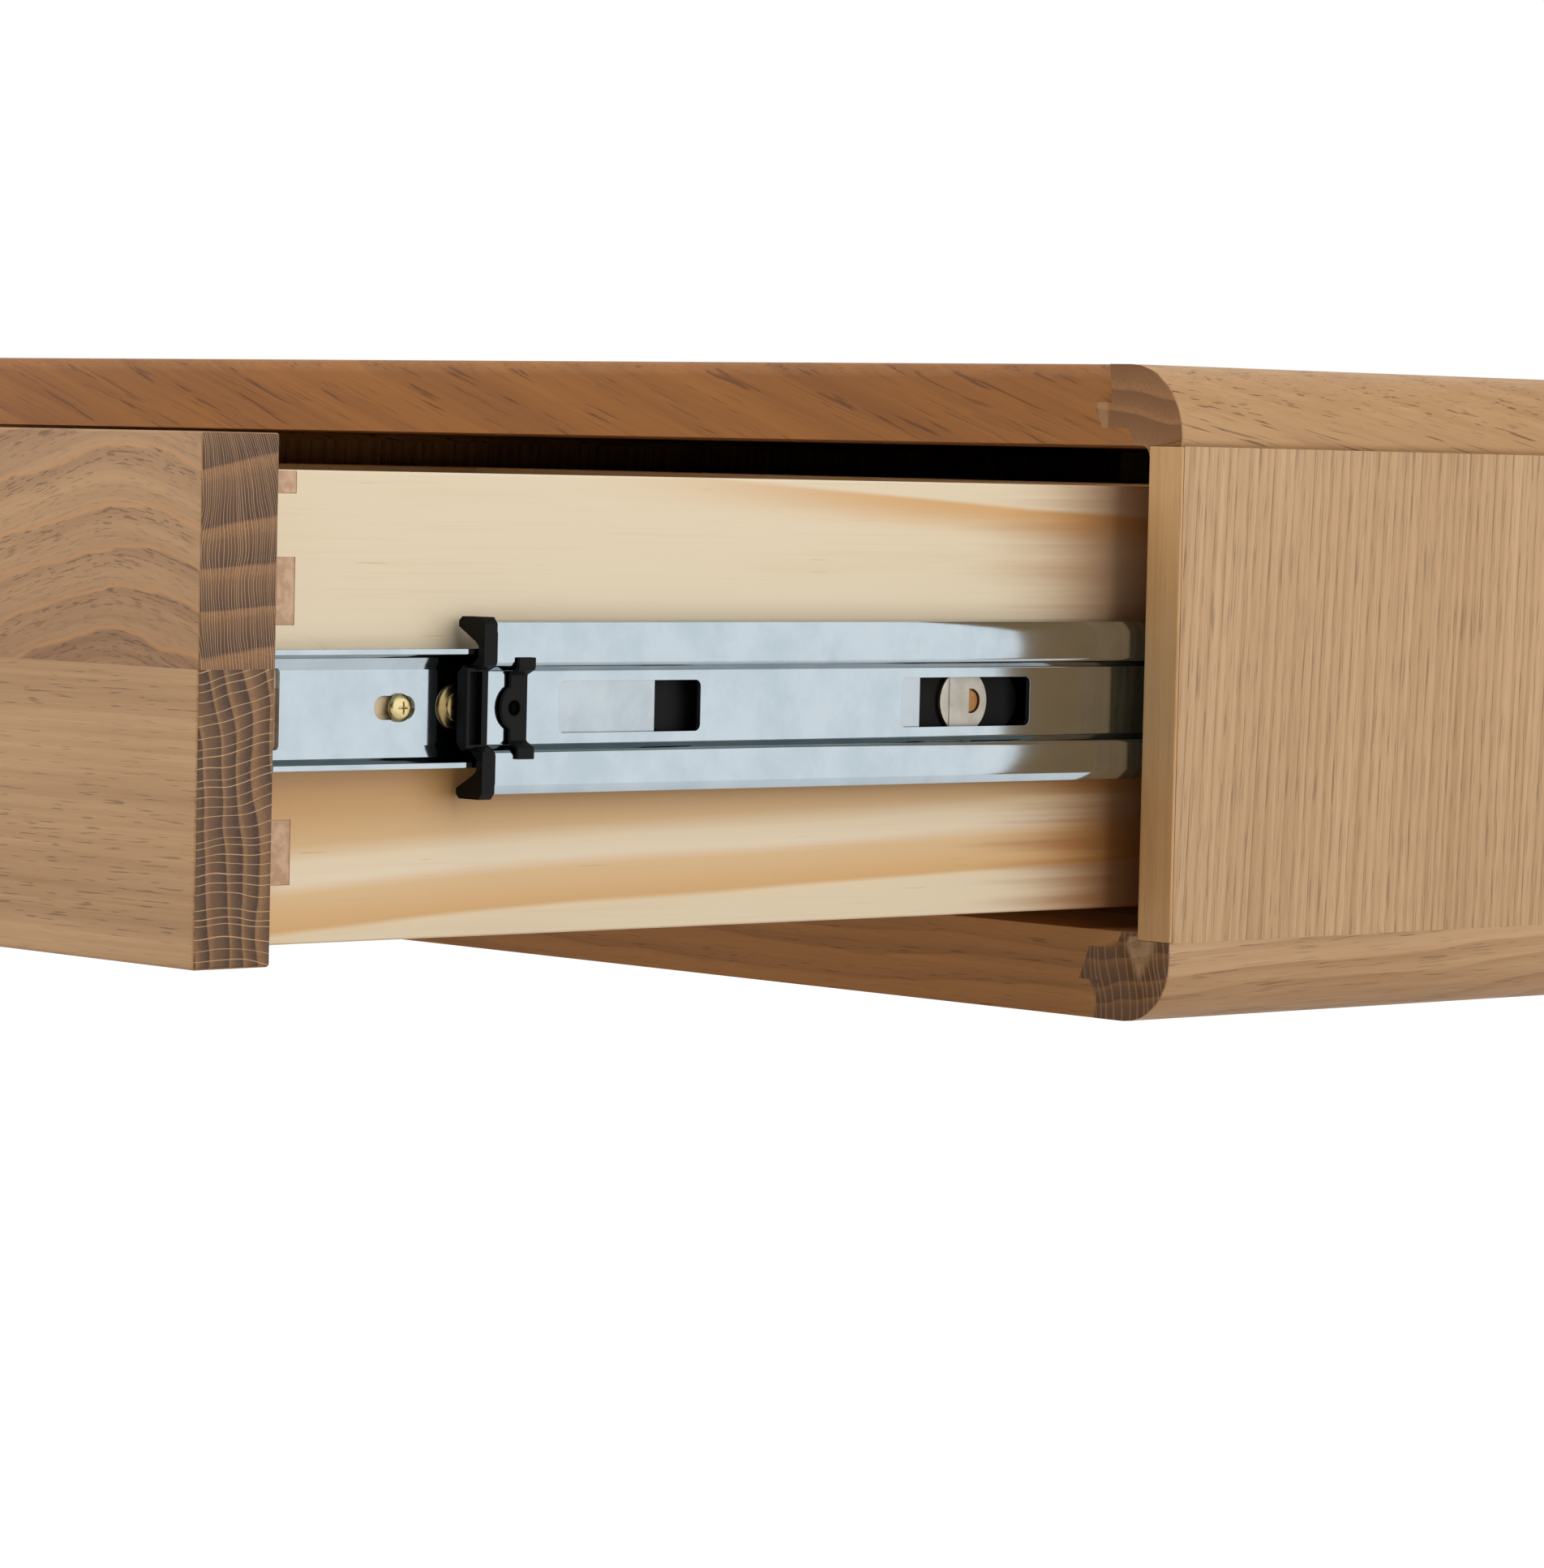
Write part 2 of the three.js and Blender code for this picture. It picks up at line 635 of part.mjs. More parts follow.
function drawerMember(group, side) {
  const span = [drawerMemberFront, drawerMemberFront + DRAWER_MEMBER_LENGTH];
  const web = [-SLIDE_THICKNESS - 1, -SLIDE_THICKNESS + 2];
  const made = cut(
    member(DRAWER_PROFILE, STEEL, span),
    windowX(web, [span[0] - 4, span[0] + 6.5], slideZ, 8.5, 1),
    windowX(web, [span[0] + 32, span[0] + 43], slideZ, 2.5, 2.4),
    rodX(SCREW_HOLE, web, memberScrews[1].y, slideZ),
    rodX(SCREW_HOLE, web, memberScrews[2].y, slideZ),
    rodX(2.7, web, PIVOT_Y, slideZ, 16),
  );
  add(group, `drawer_member_${side}`, made, zinc);
  memberScrews.forEach(({ y, kind }, i) => {
    const fixing = add(group, `drawer_member_screw_${i + 1}_${side}`, screw(kind), yellowZinc);
    fixing.rotation.y = Math.PI / 2;
    fixing.position.set(-SLIDE_THICKNESS + STEEL + 0.05, y, slideZ);
  });
  releaseLever(group, side);
}

// The lever that unhooks the drawer from its slides. It turns on a pin whose end shows in the round
// cap's off-centre hole, and the cap has a seam across it.
function releaseLever(group, side) {
  const plate = [-11.35, -9.75];
  const tailY = RIVET_Y + 11.5;
  const arm = polygon([
    [tailY, slideZ - 6],
    [RIVET_Y - 92, slideZ - 6],
    [RIVET_Y - 97, slideZ - 3],
    [RIVET_Y - 97, slideZ + 3],
    [RIVET_Y - 92, slideZ + 6],
    [tailY, slideZ + 6],
  ]);
  const tail = rodX(6.6, plate, tailY, slideZ, 28);
  const lever = cut(join(prismX(arm, plate), tail), rodX(2.9, [-13, -8], PIVOT_Y, slideZ, 20));
  add(group, `release_lever_${side}`, lever, blackPlastic);
  const cap = [-9.5, -8.6];
  const hole = cut(
    rodX(2.8, [-10, -8], PIVOT_Y, slideZ, 24),
    block([-11, -7], [PIVOT_Y - 4, PIVOT_Y - 0.7], [slideZ - 4, slideZ + 4]),
  );
  const seam = block([-8.9, -8], [RIVET_Y - 4.8, RIVET_Y - 4.4], [slideZ - 8, slideZ + 8]);
  const rivet = join(
    cut(rodX(7.4, cap, RIVET_Y, slideZ, 36), hole, seam),
    rodX(2.6, [-12.65, -9.2], PIVOT_Y, slideZ, 20),
  );
  add(group, `lever_rivet_${side}`, rivet, plainSteel);
}

function slide(side) {
  const handed = new THREE.Group();
  handed.scale.x = side === "right" ? 1 : -1;
  drawerUnit.add(handed);
  const group = new THREE.Group();
  group.position.x = innerX;
  handed.add(group);
  fixedMember(group, side);
  middleMember(group, side);
  drawerMember(group, side);
}

// ---- The whole unit -----------------------------------------------------------------------------

caseBoards();
drawerFront();
drawerBox();
for (const side of ["right", "left"]) {
  caseSide(side);
  boxSide(side);
  slide(side);
}

export default drawerUnit;
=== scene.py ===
"""The looks of the under-desk drawer: wood, zinc-plated slides, plastic stops and screws.

Metres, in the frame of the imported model: +Z up, the drawer opens towards -Y, and the origin is the
centre of the case's underside. The camera stands where the photograph was taken from.
"""

import json
import math

import bmesh
import bpy
from mathutils import Matrix, Vector

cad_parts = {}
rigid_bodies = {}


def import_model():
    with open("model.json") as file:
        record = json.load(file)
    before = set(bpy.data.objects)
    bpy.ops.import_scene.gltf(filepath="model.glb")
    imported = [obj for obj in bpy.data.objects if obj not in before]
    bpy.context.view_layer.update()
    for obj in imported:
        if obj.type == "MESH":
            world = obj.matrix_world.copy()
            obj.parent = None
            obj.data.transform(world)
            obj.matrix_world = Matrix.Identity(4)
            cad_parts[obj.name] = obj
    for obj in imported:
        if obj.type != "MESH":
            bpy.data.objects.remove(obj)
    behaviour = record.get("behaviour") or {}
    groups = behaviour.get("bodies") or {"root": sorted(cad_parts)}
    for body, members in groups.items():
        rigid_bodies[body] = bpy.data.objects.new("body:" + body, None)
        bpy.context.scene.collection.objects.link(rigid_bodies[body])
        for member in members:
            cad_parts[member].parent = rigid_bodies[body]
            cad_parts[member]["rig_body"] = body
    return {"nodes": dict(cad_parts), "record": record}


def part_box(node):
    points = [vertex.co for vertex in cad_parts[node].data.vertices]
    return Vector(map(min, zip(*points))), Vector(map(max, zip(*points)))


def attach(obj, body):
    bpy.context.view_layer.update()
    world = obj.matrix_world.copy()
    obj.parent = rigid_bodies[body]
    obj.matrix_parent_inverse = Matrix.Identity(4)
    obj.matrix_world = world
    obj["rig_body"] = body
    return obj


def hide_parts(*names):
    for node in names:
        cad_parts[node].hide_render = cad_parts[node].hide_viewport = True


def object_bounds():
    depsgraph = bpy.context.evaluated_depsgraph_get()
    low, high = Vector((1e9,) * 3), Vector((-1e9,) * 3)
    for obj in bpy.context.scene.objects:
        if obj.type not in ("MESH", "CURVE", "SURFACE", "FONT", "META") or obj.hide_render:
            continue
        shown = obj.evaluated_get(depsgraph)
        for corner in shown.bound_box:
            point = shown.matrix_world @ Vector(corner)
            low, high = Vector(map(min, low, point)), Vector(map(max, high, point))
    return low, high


MM = 0.001
SIDES = ("right", "left")

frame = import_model()
cad_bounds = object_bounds()
nodes = frame["nodes"]

# ---- Places, worked out from the frame ----------------------------------------------------------

case_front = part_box("top_board")[0].y
case_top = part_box("top_board")[1].z
inner_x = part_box("side_panel_right")[0].x
front_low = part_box("drawer_front_lower_board")[0]
front_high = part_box("drawer_front_upper_board")[1]
seam_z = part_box("drawer_front_lower_board")[1].z
box_low, box_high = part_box("box_side_right")
slide_low, slide_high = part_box("fixed_member_right")
slide_z = (slide_low.z + slide_high.z) / 2
TOP_ROUNDING = 3.4 * MM  # of the top board's upper front edge
FRONT_CROWN = (front_high.x - 29 * MM, 13 * MM)  # the peaks of the drawer front's upper board

# ---- Materials ----------------------------------------------------------------------------------


def srgb(red, green, blue):
    """A linear colour from the 0 to 255 values that a screen shows."""

    def linear(value):
        value = value / 255
        return value / 12.92 if value <= 0.04045 else ((value + 0.055) / 1.055) ** 2.4

    return (linear(red), linear(green), linear(blue), 1.0)


class Surface:
    """A material that is built up node by node."""

    def __init__(self, name):
        self.material = bpy.data.materials.new(name)
        self.material.use_nodes = True
        self.tree = self.material.node_tree
        self.shader = self.tree.nodes["Principled BSDF"]

    def feed(self, socket, value):
        if isinstance(value, bpy.types.NodeSocket):
            self.tree.links.new(value, socket)
        else:
            socket.default_value = value

    def add(self, kind, settings=None, inputs=None):
        node = self.tree.nodes.new("ShaderNode" + kind)
        for key, value in (settings or {}).items():
            setattr(node, key, value)
        for key, value in (inputs or {}).items():
            self.feed(node.inputs[key], value)
        return node

    def set(self, **values):
        for key, value in values.items():
            self.feed(self.shader.inputs[key.replace("_", " ")], value)

    def math(self, operation, a, b=0.0, clamp=False):
        settings = {"operation": operation, "use_clamp": clamp}
        return self.add("Math", settings, {0: a, 1: b}).outputs[0]

    def share(self, value, middle, weight):
        """How far value is from middle, times weight."""
        return self.math("MULTIPLY", self.math("SUBTRACT", value, middle), weight)

    def vector(self, x, y, z):
        return self.add("CombineXYZ", None, {0: x, 1: y, 2: z}).outputs[0]

    def scaled(self, parts, *factors):
        """The place whose three parts are given, with each axis multiplied by its own factor."""
        return self.vector(*(self.math("MULTIPLY", parts[i], factors[i]) for i in range(3)))

    def noise(self, vector, scale, detail=2.0, roughness=0.5, output="Fac"):
        inputs = {"Vector": vector, "Scale": scale, "Detail": detail, "Roughness": roughness}
        return self.add("TexNoise", None, inputs).outputs[output]

    def ramp(self, factor, stops):
        node = self.add("ValToRGB", None, {"Fac": factor})
        elements = node.color_ramp.elements
        while len(elements) < len(stops):
            elements.new(0.5)
        for element, (position, colour) in zip(elements, stops):
            element.position = position
            element.color = colour if isinstance(colour, tuple) else (colour,) * 3 + (1.0,)
        return node.outputs["Color"]

    def mix(self, factor, a, b, blend="MIX"):
        settings = {"data_type": "RGBA", "blend_type": blend, "clamp_factor": True}
        node = self.add("Mix", settings, {0: factor, 6: a, 7: b})
        return node.outputs[2]

    def between(self, value, low, high):
        """0 below low, 1 above high, and smooth between them."""
        inputs = {"Value": value, "From Min": low, "From Max": high}
        node = self.add("MapRange", {"interpolation_type": "SMOOTHSTEP"}, inputs)
        return node.outputs["Result"]

    def bump(self, height, distance, strength=1.0):
        inputs = {"Height": height, "Distance": distance, "Strength": strength}
        self.feed(self.shader.inputs["Normal"], self.add("Bump", None, inputs).outputs[0])

    def place(self):
        return self.add("TexCoord").outputs["Object"]

    def facing(self):
        return self.add("TexCoord").outputs["Normal"]


CROSS_AXES = {"X": ("Y", "Z"), "Y": ("X", "Z"), "Z": ("X", "Y")}
EVEN_CLIMB = (-9.0, 60 * MM)  # a crown so far away that the grain climbs evenly
NARROW_CROWN = 20 * MM  # a crown turning more sharply than this levels off at CROWN_REACH
CROWN_REACH = 45 * MM


class Grain:
    """Coordinates that follow the grain of a board: along it, and first and second across it.

    slope is how far the grain climbs for each unit along, and crown the place where it turns round
    and how softly it turns. It climbs only before slant_end on the first axis across, if that is given.
    """

    def __init__(self, surface, axis, seed, slope, crown, slant_end=None):
        parts = surface.add("SeparateXYZ", None, {0: surface.place()}).outputs
        self.surface = surface
        self.along = surface.math("ADD", parts[axis], seed)
        self.first, second = (parts[name] for name in CROSS_AXES[axis])
        place, softness = crown
        offset = surface.math("SUBTRACT", parts[axis], place)
        bent = surface.math("MULTIPLY", offset, offset)
        bent = surface.math("SQRT", surface.math("ADD", bent, softness**2))
        if softness < NARROW_CROWN:
            bent = surface.math("MINIMUM", bent, CROWN_REACH)
        climb = surface.math("MULTIPLY", bent, slope)
        if slant_end is not None:
            climb = surface.math("MULTIPLY", climb, surface.math("LESS_THAN", self.first, slant_end))
        self.second = surface.math("ADD", second, climb)

    def stretched(self, length, width, shift=0.0):
        along = self.surface.math("ADD", self.along, shift)
        parts = (along, self.first, self.second)
        return self.surface.scaled(parts, 1 / length, 1 / width, 1 / width)

    def noise(self, length, width, detail=2.0, roughness=0.5, shift=0.0, output="Fac"):
        return self.surface.noise(
            self.stretched(length, width, shift), 1.0, detail, roughness, output
        )


def wood(
    name,
    grain,
    pith,
    ring,
    light,
    dark,
    end_light,
    end_dark,
    figure=(3 * MM, 90 * MM, 30 * MM),
    weights=(0.45, 0.5, 0.35),
    pore=(9 * MM, 0.4 * MM, 0.6, 0.6),
    ray=(3.2 * MM, 0.5),
    streak=2.2 * MM,
    slope=0.0,
    crown=EVEN_CLIMB,
    edge=0.0,
    slant_end=None,
    seed=0.0,
):
    """Solid oak: growth rings round a pith, pores and streaks along the grain, rays across the rings.

    pith is the place of the tree's centre across the grain and ring the width of a year. figure is how
    far the rings wander, over what length and width; weights are the shares of rings, streaks and
    clouds in the tone; pore is a pore's length, width, threshold and depth; ray is the rays' spacing
    and brightness on the end grain; streak is how wide the streaks are; edge is how much the end of
    each year shows as a thin amber line. slope, crown and slant_end are those of Grain.
    """
    surface = Surface(name)
    lines = Grain(surface, grain, seed, slope, crown, slant_end)
    wander_by, wander_length, wander_width = figure
    wave = lines.noise(wander_length, wander_width, 1.0, 0.4, output="Color")
    waves = surface.add("SeparateColor", None, {0: wave}).outputs
    ripple = lines.noise(wander_length / 3, 12 * MM, 1.0, 0.4, output="Color")
    ripples = surface.add("SeparateColor", None, {0: ripple}).outputs

    def shifted(value, index, middle):
        broad = surface.share(waves[index], 0.5, 4 * wander_by)
        small = surface.share(ripples[index], 0.5, 0.8 * wander_by)
        moved = surface.math("ADD", value, surface.math("ADD", broad, small))
        return surface.math("SUBTRACT", moved, middle)

    u = shifted(lines.first, 0, pith[0])
    v = shifted(lines.second, 1, pith[1])
    radius = surface.math(
        "SQRT",
        surface.math("ADD", surface.math("MULTIPLY", u, u), surface.math("MULTIPLY", v, v)),
    )
    years = surface.math("DIVIDE", radius, ring)
    uneven = surface.noise(surface.vector(years, 0.0, seed), 0.45, 1.0)
    years = surface.math("ADD", years, surface.math("MULTIPLY", uneven, 1.6))
    year = surface.math("FRACT", years)
    spring = surface.ramp(
        year, [(0.0, 0.1), (0.05, 1.0), (0.25, 0.7), (0.55, 0.15), (1.0, 0.0)]
    )

    streaks = lines.noise(150 * MM, streak, 3.0, 0.6)
    fibres = lines.noise(45 * MM, 0.5 * MM, 2.0, 0.6)
    clouds = lines.noise(220 * MM, 26 * MM, 2.0, 0.5, 3.0)
    pore_length, pore_width, pore_from, pore_depth = pore
    pits = lines.noise(pore_length, pore_width, 1.0, 0.5)
    pit = surface.between(pits, pore_from, pore_from + 0.09)
    pit = surface.math("MULTIPLY", pit, surface.math("ADD", spring, 0.3), clamp=True)

    by_ring, by_streak, by_cloud = weights
    shade = surface.share(spring, 0.35, by_ring)
    shade = surface.math("ADD", shade, surface.share(streaks, 0.5, 2 * by_streak))
    shade = surface.math("ADD", shade, surface.share(clouds, 0.5, 2 * by_cloud))
    shade = surface.math("ADD", shade, surface.share(fibres, 0.5, 0.35))
    shade = surface.math("ADD", shade, 0.45, clamp=True)
    face = surface.mix(shade, light, dark)
    pore_tone = tuple(0.42 * part for part in dark[:3]) + (1.0,)
    face = surface.mix(surface.math("MULTIPLY", pit, pore_depth), face, pore_tone)
    if edge:
        late = surface.ramp(year, [(0.0, 0.0), (0.9, 0.0), (0.96, 1.0), (1.0, 0.6)])
        amber = (1.1 * light[0], 0.86 * light[1], 0.66 * light[2], 1.0)
        face = surface.mix(surface.math("MULTIPLY", late, edge), face, amber)

    ray_gap, ray_tone = ray
    reach = max(abs(pith[0]) + abs(pith[1]), 0.02)
    arc = surface.math("MULTIPLY", surface.math("ARCTAN2", v, u), reach / ray_gap)
    sway = surface.noise(surface.vector(arc, surface.math("MULTIPLY", radius, 40.0), seed), 1.0, 1.0)
    arc = surface.math("ADD", arc, surface.math("MULTIPLY", sway, 0.5))
    cells = surface.add(
        "TexVoronoi",
        {"voronoi_dimensions": "1D", "feature": "DISTANCE_TO_EDGE"},
        {"W": arc, "Scale": 1.0},
    ).outputs["Distance"]
    thin = 0.14 * MM / ray_gap
    line = surface.math("SUBTRACT", 1.0, surface.between(cells, thin, 2 * thin))
    end_shade = surface.ramp(
        year, [(0.0, 0.3), (0.03, 0.0), (0.12, 0.05), (0.3, 0.5), (0.7, 0.85), (0.96, 1.0), (1.0, 0.3)]
    )
    end_shade = surface.math("ADD", end_shade, surface.share(clouds, 0.5, 0.5), clamp=True)
    end = surface.mix(end_shade, end_light, end_dark)
    speckle = surface.noise(lines.stretched(20 * MM, 0.7 * MM), 1.0, 1.0)
    speckle = surface.math("MULTIPLY", surface.between(speckle, 0.5, 0.66), 0.4)
    end = surface.mix(speckle, end, pore_tone)
    ray_colour = tuple(min(1.35 * part, 1.0) for part in light[:3]) + (1.0,)
    end = surface.mix(surface.math("MULTIPLY", line, ray_tone), end, ray_colour)

    normal = surface.add("SeparateXYZ", None, {0: surface.facing()}).outputs[grain]
    across = surface.between(surface.math("ABSOLUTE", normal), 0.55, 0.9)
    surface.set(Base_Color=surface.mix(across, face, end))
    surface.set(Roughness=surface.math("ADD", surface.math("MULTIPLY", fibres, 0.2), 0.45))
    surface.set(Specular_IOR_Level=0.3)
    height = surface.math("SUBTRACT", surface.math("MULTIPLY", fibres, 0.25), pit)
    surface.bump(height, 0.12 * MM, 0.5)
    return surface.material


def pine(name, grain, low, high, bands, seed=0.0, flame=None):
    """Flat-sawn pine: broad bands of summer wood between the heights low and high, drifting along the
    board, and pinkish end grain. bands is a list of heights (0 to 1) and colours. flame is an amber
    band near the top: where it starts and is full along the grain, and how high it is (0 to 1). Just past
    the flame's full point the board turns dark brown: partly heartwood, partly painted shade and painted
    warm bounce light where the box side runs into the case."""
    surface = Surface(name)
    lines = Grain(surface, grain, seed, 0.0, EVEN_CLIMB)
    rise = surface.math("DIVIDE", surface.math("SUBTRACT", lines.second, low), high - low)
    drift = lines.noise(260 * MM, 130 * MM, 1.0, 0.4)
    level = surface.math("ADD", rise, surface.share(drift, 0.5, 0.12))
    level = surface.math("ADD", level, surface.share(lines.along, case_front - 0.25, -0.36))
    ripple = lines.noise(160 * MM, 14 * MM, 2.0, 0.5, 1.0)
    level = surface.math("ADD", level, surface.share(ripple, 0.5, 0.03))
    colour = surface.ramp(level, bands)
    if flame:
        start, full, centre = flame
        near = surface.between(lines.along, start, full)
        height = surface.math("ADD", rise, surface.share(ripple, 0.5, 0.03))
        height = surface.math("ADD", height, surface.share(lines.along, full, 0.55))
        lower = surface.between(height, centre - 0.08, centre)
        upper = surface.math("SUBTRACT", 1.0, surface.between(height, centre, centre + 0.012))
        amber = surface.math("MULTIPLY", surface.math("MULTIPLY", lower, upper), near)
        colour = surface.mix(surface.math("MULTIPLY", amber, 0.85), colour, srgb(216, 162, 92))
        # Partly heartwood, partly painted shade and painted warm bounce light where the box side enters
        # the
        # case: a dark streaky patch round the end of the flame, gone again farther along.
        streaks = lines.noise(200 * MM, 3 * MM, 2.0, 0.6, 0.6)
        reach = surface.math("ADD", lines.along, surface.share(streaks, 0.5, 0.05))
        heart_and_shade = surface.between(reach, full + 0.005, full + 0.055)
        low_part = surface.math("SUBTRACT", 0.85, surface.math("MULTIPLY", level, 0.3))
        heart_and_shade = surface.math("MULTIPLY", heart_and_shade, low_part)
        behind = surface.between(lines.along, full + 0.09, full + 0.19)
        heart_and_shade = surface.math("MULTIPLY", heart_and_shade, surface.math("SUBTRACT", 1.0, behind))
        colour = surface.mix(heart_and_shade, colour, srgb(160, 98, 38))
    clouds = lines.noise(120 * MM, 8 * MM, 3.0, 0.55)
    tan = srgb(206, 168, 118)
    colour = surface.mix(surface.math("MULTIPLY", surface.between(clouds, 0.5, 0.85), 0.3), colour, tan)
    fibres = lines.noise(60 * MM, 0.6 * MM, 3.0, 0.6)
    colour = surface.mix(surface.math("MULTIPLY", surface.between(fibres, 0.5, 0.8), 0.16), colour, tan)
    dashes = surface.between(lines.noise(16 * MM, 0.7 * MM, 0.0), 0.78, 0.84)
    colour = surface.mix(surface.math("MULTIPLY", dashes, 0.35), colour, srgb(196, 156, 106))
    rings = surface.noise(lines.stretched(300 * MM, 2.6 * MM), 1.0, 2.0, 0.6)
    end = surface.mix(surface.between(rings, 0.35, 0.65), srgb(204, 168, 134), srgb(184, 144, 108))
    normal = surface.add("SeparateXYZ", None, {0: surface.facing()}).outputs[grain]
    across = surface.between(surface.math("ABSOLUTE", normal), 0.55, 0.9)
    surface.set(Base_Color=surface.mix(across, colour, end))
    surface.set(Roughness=surface.math("ADD", surface.math("MULTIPLY", fibres, 0.15), 0.36))
    surface.set(Specular_IOR_Level=0.35)
    surface.bump(fibres, 0.04 * MM, 0.3)
    return surface.material


def plated(name, colour, tint, rough=0.24, smudges=0.3):
    """Zinc-plated sheet: a soft mirror with drawing lines, cloudy plating and faint smudges."""
    surface = Surface(name)
    parts = surface.add("SeparateXYZ", None, {0: surface.place()}).outputs
    along, across, up = parts["Y"], parts["X"], parts["Z"]
    drawn = surface.noise(surface.scaled((along, across, up), 12.0, 2200.0, 2200.0), 1.0, 3.0, 0.6)
    clouds = surface.noise(surface.place(), 70.0, 4.0, 0.6)
    spots = surface.between(surface.noise(surface.place(), 160.0, 5.0, 0.7), 0.6, 0.78)
    base = surface.mix(surface.between(clouds, 0.35, 0.7), colour, tint)
    base = surface.mix(surface.math("MULTIPLY", spots, smudges), base, srgb(150, 152, 150))
    roughness = surface.math("ADD", surface.math("MULTIPLY", clouds, 0.08), rough - 0.04)
    roughness = surface.math("ADD", roughness, surface.math("MULTIPLY", drawn, 0.03))
    surface.set(Base_Color=base, Metallic=1.0, Roughness=roughness)
    surface.bump(drawn, 0.004 * MM, 0.3)
    return surface.material


def moulded(name, colour):
    """Injection-moulded plastic with a fine spark-eroded grain."""
    surface = Surface(name)
    grain = surface.noise(surface.place(), 3500.0, 2.0, 0.6)
    clouds = surface.noise(surface.place(), 220.0, 3.0, 0.5)
    surface.set(Base_Color=surface.mix(clouds, colour, srgb(15, 15, 14)), Specular_IOR_Level=0.1)
    surface.set(Roughness=surface.math("ADD", surface.math("MULTIPLY", clouds, 0.2), 0.32))
    surface.bump(grain, 0.03 * MM, 0.5)
    return surface.material


def plywood(name, thin_axis, low, thickness):
    """Plywood: a birch face veneer, and stacked plies on the cut edges."""
    surface = Surface(name)
    parts = surface.add("SeparateXYZ", None, {0: surface.place()}).outputs
    depth = surface.math("DIVIDE", surface.math("SUBTRACT", parts[thin_axis], low), thickness)
    plies = surface.ramp(
        surface.math("FRACT", surface.math("MULTIPLY", depth, 2.5)),
        [(0.0, srgb(214, 186, 146)), (0.48, srgb(214, 186, 146)), (0.5, srgb(160, 122, 82)),
         (1.0, srgb(172, 134, 92))],
    )
    figure = surface.noise(surface.scaled(parts, 3.0, 40.0, 40.0), 1.0, 4.0, 0.6)
    veneer = surface.mix(surface.between(figure, 0.35, 0.7), srgb(222, 198, 160), srgb(206, 176, 134))
    normal = surface.add("SeparateXYZ", None, {0: surface.facing()}).outputs[thin_axis]
    flat = surface.between(surface.math("ABSOLUTE", normal), 0.5, 0.8)
    surface.set(Base_Color=surface.mix(flat, plies, veneer))
    surface.set(Roughness=surface.math("ADD", surface.math("MULTIPLY", figure, 0.2), 0.5))
    surface.bump(figure, 0.05 * MM, 0.3)
    return surface.material


OAK_ENDS = {"end_light": srgb(150, 108, 72), "end_dark": srgb(100, 66, 42)}
MOULDING_ENDS = {"end_light": srgb(151, 104, 60), "end_dark": srgb(118, 77, 38)}

rail_oak = wood(
    "rail_oak", "X", (case_front - 0.3, 0.05), 9 * MM,
    srgb(172, 113, 46), srgb(122, 72, 23), **OAK_ENDS,
    figure=(1.5 * MM, 60 * MM, 20 * MM), weights=(0.15, 0.28, 0.6), pore=(18 * MM, 0.8 * MM, 0.6, 0.6),
    slope=0.32, slant_end=case_front + TOP_ROUNDING, seed=4.0,
)
floor_oak = wood(
    "floor_oak", "X", (case_front + 0.02, -0.35), 6 * MM,
    srgb(190, 138, 80), srgb(148, 100, 54), **OAK_ENDS,
    weights=(0.4, 0.4, 0.4), seed=9.0,
)
top_moulding_oak = wood(
    "top_moulding_oak", "Y", (inner_x - 0.16, 0.12), 6 * MM,
    srgb(198, 156, 109), srgb(165, 121, 77), **MOULDING_ENDS,
    figure=(1.5 * MM, 80 * MM, 30 * MM), weights=(0.2, 0.35, 0.4), pore=(20 * MM, 0.5 * MM, 0.6, 0.8),
    slope=0.2, seed=1.3, ray=(6 * MM, 0.2),
)
bottom_moulding_oak = wood(
    "bottom_moulding_oak", "Y", (inner_x - 0.02, -0.06), 5 * MM,
    srgb(210, 172, 130), srgb(169, 129, 89), srgb(138, 98, 60), srgb(98, 66, 39),
    figure=(3 * MM, 90 * MM, 30 * MM), weights=(0.35, 0.4, 0.4), pore=(12 * MM, 0.5 * MM, 0.6, 0.55),
    slope=-0.04, seed=6.1, ray=(1.8 * MM, 0.22),
)
panel_veneer = wood(
    "panel_veneer", "Z", (inner_x + 0.4, case_front - 0.9), 2.6 * MM,
    srgb(208, 172, 130), srgb(173, 134, 93), srgb(170, 130, 92), srgb(130, 92, 60),
    figure=(0.7 * MM, 240 * MM, 40 * MM), weights=(0.4, 0.55, 0.35), streak=1.6 * MM,
    pore=(13 * MM, 0.5 * MM, 0.54, 0.5), slope=-0.045, seed=2.2,
)
strip_oak = wood(
    "strip_oak", "Z", (inner_x + 0.1, case_front - 0.3), 5 * MM,
    srgb(212, 169, 117), srgb(178, 134, 85), **OAK_ENDS,
    weights=(0.15, 0.5, 0.3), pore=(18 * MM, 0.4 * MM, 0.63, 0.35), seed=7.7,
)
front_upper_oak = wood(
    "front_upper_oak", "X", (front_low.y - 0.02, front_high.z + 0.16), 10.6 * MM,
    srgb(188, 148, 106), srgb(145, 107, 74), srgb(141, 99, 58), srgb(75, 47, 28),
    figure=(3.2 * MM, 34 * MM, 50 * MM), weights=(0.34, 0.5, 0.6), edge=0.55,
    pore=(3.5 * MM, 0.4 * MM, 0.58, 0.6), slope=0.3, crown=FRONT_CROWN, seed=3.1, ray=(3 * MM, 0.75),
)
